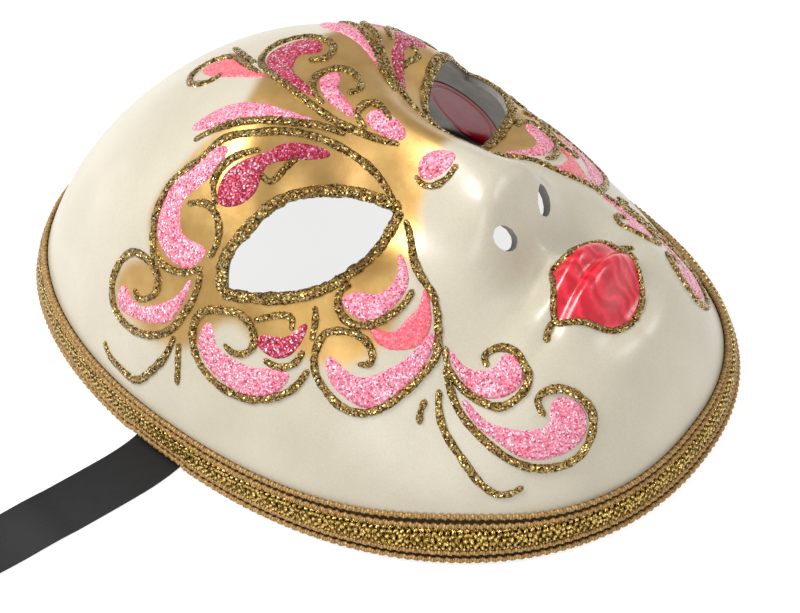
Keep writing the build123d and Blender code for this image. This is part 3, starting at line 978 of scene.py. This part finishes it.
LINE_WIDTH = 2.4
EYE_LINE_WIDTH = 1.5 * LINE_WIDTH
EYE_LINE_OFFSET = 1.2
LINE_TAPER = 0.75
LINE_HEIGHT = 0.95
FILL_HEIGHT = 0.45
SIDE_GROUPS = {
    "eye_outline": ("", EYE_LINES, []),
    "brow": ("scroll", BROW_LINES, BROW_FILLS),
    "temple": ("scroll", TEMPLE_LINES, TEMPLE_FILLS),
    "cheek": ("scroll", CHEEK_LINES, CHEEK_FILLS),
    "jaw": ("scroll", JAW_LINES, JAW_FILLS),
}
# The leaves that aren't plain pink, by group and place in its list: 1 crimson, 2 coral
LEAF_MATERIALS = {("brow", 1): 1, ("cheek", 1): 1, ("cheek", 3): 2, ("crown", 0): 1, ("crown", 3): 2}


def leaf_object(name, group, fills, plane, rng, mirror_it):
    parts = [leaf(outline, plane, FILL_HEIGHT, rng) for outline in fills]
    indices = [LEAF_MATERIALS.get((group, k), 0) for k, part in enumerate(parts) for _ in part[1]]
    points, faces = merge(parts)
    if mirror_it:
        points, faces = mirrored(points, faces)
    return make_object(name, points, faces, [PINK, CRIMSON, CORAL], indices)


def outside_eye(points):
    """The eye's outline moved outwards, so that its bead stays off the hole."""
    moved = []
    for point in np.array(points, float):
        moved.append(point + point / np.linalg.norm(point) * EYE_LINE_OFFSET)
    return moved


def put_lines(name, parts, node, mirror_it=False):
    points, faces = merge(parts)
    if mirror_it:
        points, faces = mirrored(points, faces)
    place(make_object(name, points, faces, [GOLD]), "gold_glitter", node)


def side_ornament(side):
    """The glitter lines and leaves of one half of the face."""
    flip = side == "left"
    for group, (kind, lines, fills) in SIDE_GROUPS.items():
        rng = np.random.default_rng(len(group) * 7 + flip)
        node = f"{group}_{kind}" if kind else group
        if kind:
            beads = [bead(line, "side", LINE_WIDTH, LINE_HEIGHT, rng, LINE_TAPER) for line in lines]
        else:
            moved = [outside_eye(line) for line in lines]
            beads = [bead(line, "side", EYE_LINE_WIDTH, LINE_HEIGHT, rng) for line in moved]
        put_lines(f"glitter_{node}_{side}", beads, f"{node}_{side}", flip)
        if fills:
            obj = leaf_object(f"glitter_{group}_leaves_{side}", group, fills, "side", rng, flip)
            place(obj, "pink_glitter", f"{group}_fill_{side}")


side_ornament("right")
side_ornament("left")

rng = np.random.default_rng(5)
crown_beads = [bead(line, "front", LINE_WIDTH, LINE_HEIGHT, rng, LINE_TAPER) for line in CROWN_LINES]
put_lines("glitter_crown_scroll", crown_beads, "crown_scroll")
crown_leaves = leaf_object("glitter_crown_leaves", "crown", CROWN_FILLS, "front", rng, False)
place(crown_leaves, "pink_glitter", "crown_fill")

LIP_LINE_WIDTH = 1.9
LIP_LINE_HEIGHT = 0.85
lip_halves = [LIP_HALF, [(-x, y) for x, y in LIP_HALF]]
lip_lines = lip_halves + LIP_TAILS
lip_beads = [bead(line, "front", LIP_LINE_WIDTH, LIP_LINE_HEIGHT, rng) for line in lip_lines]
put_lines("glitter_lip_outline", lip_beads, "lip_outline")


def lips():
    """A film of paint inside the lip outline."""
    half = smooth_curve(LIP_HALF, step=0.5)
    outline = np.vstack([half[:-1], (half * [-1, 1])[::-1][:-1]])
    cell = 0.5
    u, v = np.meshgrid(np.arange(-19, 19, cell), np.arange(-94, -68, cell), indexing="ij")
    flat = np.stack([u.ravel(), v.ravel()], -1)
    inside = outline_distance(flat, outline)
    points, faces = clip(np.column_stack([flat, inside]), grid_faces(*u.shape), inside)
    spots, up = drop(points[:, :2], "front")
    return make_object("painted_lips", spots + 0.12 * up, faces, [LIPS])


place(lips(), "lip_paint", "lips")


def rim_braid():
    """Scalloped cords at both edges and a chain of four strands round a heart, on a near-black band that is
    painted shade in the gaps between the threads.
    """
    materials = [TAN_THREAD, METAL_THREAD, PAINTED_SHADE_BAND]
    parts = []

    def scallop(middle, reach, pitch, phase=0.0):
        return lambda s: middle + reach * np.abs(np.sin(math.pi * s / pitch + phase))

    def sway(middle, reach, pitch, phase=0.0):
        return lambda s: middle + reach * np.sin(2 * math.pi * s / pitch + phase)

    knot = RIM_LENGTH / round(RIM_LENGTH / KNOT_PITCH)
    bump = RIM_LENGTH / round(RIM_LENGTH / SCALLOP_PITCH)
    for row, way in ((10.6, 1), (9.2, -1), (1.3, -1), (2.7, 1)):
        lift = scallop(0.75, 0.35, bump, 0.3 * way)
        edge = scallop(row, 0.45 * way, bump, 0.8 * way)
        parts.append((0, strand(edge, lift, 0.72, 0.45, 0.12)))
    for phase in (0.0, math.pi / 2, math.pi, 1.5 * math.pi):
        lift = sway(1.1, 0.4, knot / 2, 2 * phase + 1.0)
        parts.append((1, strand(sway(BRAID_MIDDLE, 2.3, knot, phase), lift, 0.62, 0.45, 0.1)))
    heart = strand(sway(BRAID_MIDDLE, 0.0, knot), sway(0.85, 0.45, knot / 2), 0.8, 0.5, 0.2)
    parts.append((1, heart))
    parts.append((2, shade_under_threads()))
    points = []
    faces = []
    indices = []
    uvs = []
    start = 0
    for material, (part_points, part_faces, part_uvs) in parts:
        points.append(part_points)
        uvs.append(part_uvs)
        faces += [tuple(i + start for i in face) for face in part_faces]
        indices += [material] * len(part_faces)
        start += len(part_points)
    return make_object("rim_braid_gimp", np.vstack(points), faces, materials, indices, np.vstack(uvs))


def shade_under_threads():
    """A flat near-black band under the braid's threads, painted shade showing in the gaps between them."""
    count = int(RIM_LENGTH)
    s = np.linspace(0, RIM_LENGTH, count, endpoint=False)
    rows = []
    uvs = []
    for v, lift in ((0.8, 0.05), (1.4, 0.6), (10.6, 0.6), (11.2, 0.05)):
        spots, normal = on_rim(s, v + 0 * s)
        rows.append(spots + normal * lift)
        uvs.append(np.stack([s, v + 0 * s], -1))
    points = np.stack(rows, 1).reshape(-1, 3)
    points[:, 2] += notch(points) * np.clip(1 - points[:, 2] / BRAID_HEIGHT, 0, 1)
    width = len(rows)
    faces = []
    for i in range(count):
        here = i * width
        ahead = (i + 1) % count * width
        faces += [(here + k, ahead + k, ahead + k + 1, here + k + 1) for k in range(width - 1)]
    return points, faces, np.stack(uvs, 1).reshape(-1, 2)


place(rim_braid(), "braid", "rim_braid")


# ---------------------------------------------------------------- patches and ribbons
PATCH_ORIGIN = np.array([-71.5, 11.5, 28.0])
PATCH_LONG = np.array([-0.4, -0.31, -0.86])
PATCH_NORMAL = np.array([0.91, -0.08, -0.4])
PATCH_HALF_LENGTH = 18.0
PATCH_HALF_WIDTH = 10.5
PATCH_POINTS = 72
PATCH_RINGS = [0, 0.15, 0.3, 0.45, 0.6, 0.72, 0.78, 0.81, 0.84, 0.87, 0.9, 0.94, 0.97, 0.99, 1.0]
BORDER_RING = 0.84


def patch(side):
    """An oval with a raised border line, glued to the inside of the shell."""
    normal = PATCH_NORMAL / np.linalg.norm(PATCH_NORMAL)
    long = PATCH_LONG - normal * (PATCH_LONG @ normal)
    long /= np.linalg.norm(long)
    wide = np.cross(normal, long)
    count = PATCH_POINTS
    points = []
    for radius in PATCH_RINGS:
        lift = 0.35 + 0.45 * (1 - radius**4)
        lift += 0.3 * math.exp(-(((radius - BORDER_RING) / 0.025) ** 2))
        for k in range(count):
            angle = 2 * math.pi * k / count
            across_patch = PATCH_HALF_WIDTH * math.sin(angle) * wide
            start = PATCH_HALF_LENGTH * math.cos(angle) * long + across_patch
            start = PATCH_ORIGIN + radius * start
            spot, out, _, _ = surface.ray_cast(Vector(start - 40 * normal), Vector(normal))
            points.append(np.array(spot) - np.array(out) * (SHELL + lift))
    wall = []
    for spot in points[-count:]:
        _, out, _, _ = surface.find_nearest(Vector(spot))
        wall.append(spot + np.array(out) * 0.3)
    points = np.array(points + wall)
    spans = len(PATCH_RINGS)
    faces = ring_faces(spans, count, spans + 1)
    if side == "left":
        points, faces = mirrored(points, faces)
    return make_object(f"ribbon_patch_oval_{side}", points, faces, [PATCH])


for side in ("right", "left"):
    place(patch(side), "patch", f"ribbon_patch_{side}")

RIBBON_WIDTH = 19.0
RIBBON_THICKNESS = 0.35
RIBBON_COLUMNS = 13
DROP_LENGTH = 30.0  # past this length from its patch, a ribbon lies flat
RIBBON_ROUTES = {
    "right": [(-73.2, 16, 14), (-73.2, 16, 0.3), (-87, 16, 0.3), (-106, 21.5, 0.3),
              (-130, 29, 0.3), (-155, 37, 0.3)],
    "left": [(73.2, 16, 14), (73.2, 16, 0.3), (90, 16, 0.3), (107, 33, 0.3), (116, 61, 0.3),
             (112, 89, 0.3), (94, 108, 0.3), (70, 119, 0.3), (46, 124, 0.3)],
}
ROLL_MIDDLE = (-177, 64)
ROLL_START = math.radians(-106)
ROLL_TURNS = 1.25
ROLL_OUTER = 21.5
ROLL_PITCH = 7.5
ROLL_HEIGHT = 9.6
TURN_POINTS = 16


def roll_points():
    """The loose roll on its edge at the right ribbon's end, wound inwards."""
    points = []
    for k in range(int(ROLL_TURNS * TURN_POINTS) + 1):
        turn = k / TURN_POINTS
        radius = ROLL_OUTER - ROLL_PITCH * turn
        angle = ROLL_START - 2 * math.pi * turn
        x = ROLL_MIDDLE[0] + radius * math.cos(angle)
        y = ROLL_MIDDLE[1] + radius * math.sin(angle)
        points.append((x, y, ROLL_HEIGHT))
    return points


def ribbon_line(side):
    """Points of the ribbon's own NURBS line, in mm."""
    controls = RIBBON_ROUTES[side] + (roll_points() if side == "right" else [])
    data = bpy.data.curves.new(f"ribbon_line_{side}", "CURVE")
    data.dimensions = "3D"
    data.resolution_u = 10
    spline = data.splines.new("NURBS")
    spline.points.add(len(controls) - 1)
    for point, spot in zip(spline.points, controls):
        point.co = (*[c * MM for c in spot], 1.0)
    spline.order_u = 3
    spline.use_endpoint_u = True
    obj = bpy.data.objects.new(f"ribbon_line_{side}", data)
    bpy.context.collection.objects.link(obj)
    mesh = bpy.data.meshes.new_from_object(obj)
    points = np.array([v.co for v in mesh.vertices], float) / MM
    bpy.data.objects.remove(obj)
    bpy.data.curves.remove(data)
    bpy.data.meshes.remove(mesh)
    return points


def ribbon(side):
    """A satin strip along its line."""
    line = ribbon_line(side)
    steps = np.linalg.norm(np.diff(line, axis=0), axis=1)
    s = np.concatenate([[0], np.cumsum(steps)])
    fine = np.arange(0, s[-1], 1.5)
    centre = np.stack([np.interp(fine, s, line[:, k]) for k in range(3)], -1)
    ahead = np.gradient(centre, axis=0)
    ahead /= np.linalg.norm(ahead, axis=1, keepdims=True)
    level = np.cross(ahead, [0, 0, 1.0])
    steep = ease((np.abs(ahead[:, 2]) - 0.3) / 0.5)[:, None] * (fine < DROP_LENGTH)[:, None]
    if side == "right":
        level = -level
    level = level / np.maximum(np.linalg.norm(level, axis=1, keepdims=True), 1e-6)
    start_side = np.array([0, 1.0, 0])
    if level[np.searchsorted(fine, DROP_LENGTH)] @ start_side < 0:
        start_side = -start_side
    across_line = level * (1 - steep) + start_side * steep
    # On edge where it is rolled up
    stand = ease(centre[:, 2] / ROLL_HEIGHT) * (fine > DROP_LENGTH)
    turn = (stand * math.pi / 2)[:, None]
    across_line = across_line * np.cos(turn) + np.array([0, 0, 1.0]) * np.sin(turn)
    across_line -= ahead * (across_line * ahead).sum(1, keepdims=True)
    across_line /= np.linalg.norm(across_line, axis=1, keepdims=True)
    out = np.cross(ahead, across_line)
    columns = RIBBON_COLUMNS
    top = []
    bottom = []
    uvs = []
    for k in range(columns):
        w = -0.5 + k / (columns - 1)
        spot = centre + across_line * (RIBBON_WIDTH * w)
        top.append(spot + out * RIBBON_THICKNESS / 2)
        bottom.append(spot - out * RIBBON_THICKNESS / 2)
        uvs.append(np.stack([fine, np.full(len(fine), w * RIBBON_WIDTH)], -1))
    count = len(fine)
    top = np.stack(top, 1).reshape(-1, 3)
    bottom = np.stack(bottom, 1).reshape(-1, 3)
    ripple = 0.25 * np.sin(fine / 9.0) + 0.2 * np.sin(fine / 4.3 + 1.0)
    ripple = np.clip(ripple, 0, None) * (1 - stand) * ease((fine - DROP_LENGTH) / 20)
    ripple = np.repeat(ripple, columns)
    for layer in (top, bottom):
        layer[:, 2] += ripple
        layer[:, 2] = np.maximum(layer[:, 2], 0.05)
    top[:, 2] = np.maximum(top[:, 2], bottom[:, 2])
    faces = grid_faces(count, columns)
    total = count * columns
    points = np.vstack([top, bottom])
    all_faces = faces + [tuple(i + total for i in face[::-1]) for face in faces]
    all_faces += [(b, a, a + total, b + total) for a, b in border(faces)]
    uv = np.stack(uvs, 1).reshape(-1, 2)
    obj = make_object(f"satin_ribbon_{side}", points, all_faces, [SATIN], uvs=np.vstack([uv, uv]), sharp=60)
    rolls = ["ribbon_right_roll"] if side == "right" else []
    place(obj, "ribbon", f"ribbon_{side}", *rolls)


ribbon("right")
ribbon("left")

# ---------------------------------------------------------------- floor and light
bpy.ops.mesh.primitive_plane_add(size=6.0, location=(0, 0, 0))
floor = bpy.context.object
floor.name = "floor"
floor.data.materials.append(plain_floor())


LIGHT_TARGET = Vector((0, 0, 0.04))


def soft_light(name, spot, size, power):
    data = bpy.data.lights.new(name, "AREA")
    data.shape = "DISK"
    data.size = size
    data.energy = power
    light = bpy.data.objects.new(name, data)
    light.location = spot
    light.rotation_euler = (LIGHT_TARGET - Vector(spot)).to_track_quat("-Z", "Y").to_euler()
    bpy.context.collection.objects.link(light)


soft_light("key_light", (-0.35, 0.55, 0.95), 0.5, 11)
soft_light("fill_light", (-1.1, -0.5, 0.7), 0.6, 4)
soft_light("front_light", (0.7, -0.9, 0.8), 0.5, 4)

world = bpy.data.worlds.new("world")
world.use_nodes = True
world.node_tree.nodes["Background"].inputs["Color"].default_value = (1.0, 1.0, 1.0, 1.0)
world.node_tree.nodes["Background"].inputs["Strength"].default_value = 0.55
bpy.context.scene.world = world
bpy.context.scene.view_settings.view_transform = "Standard"
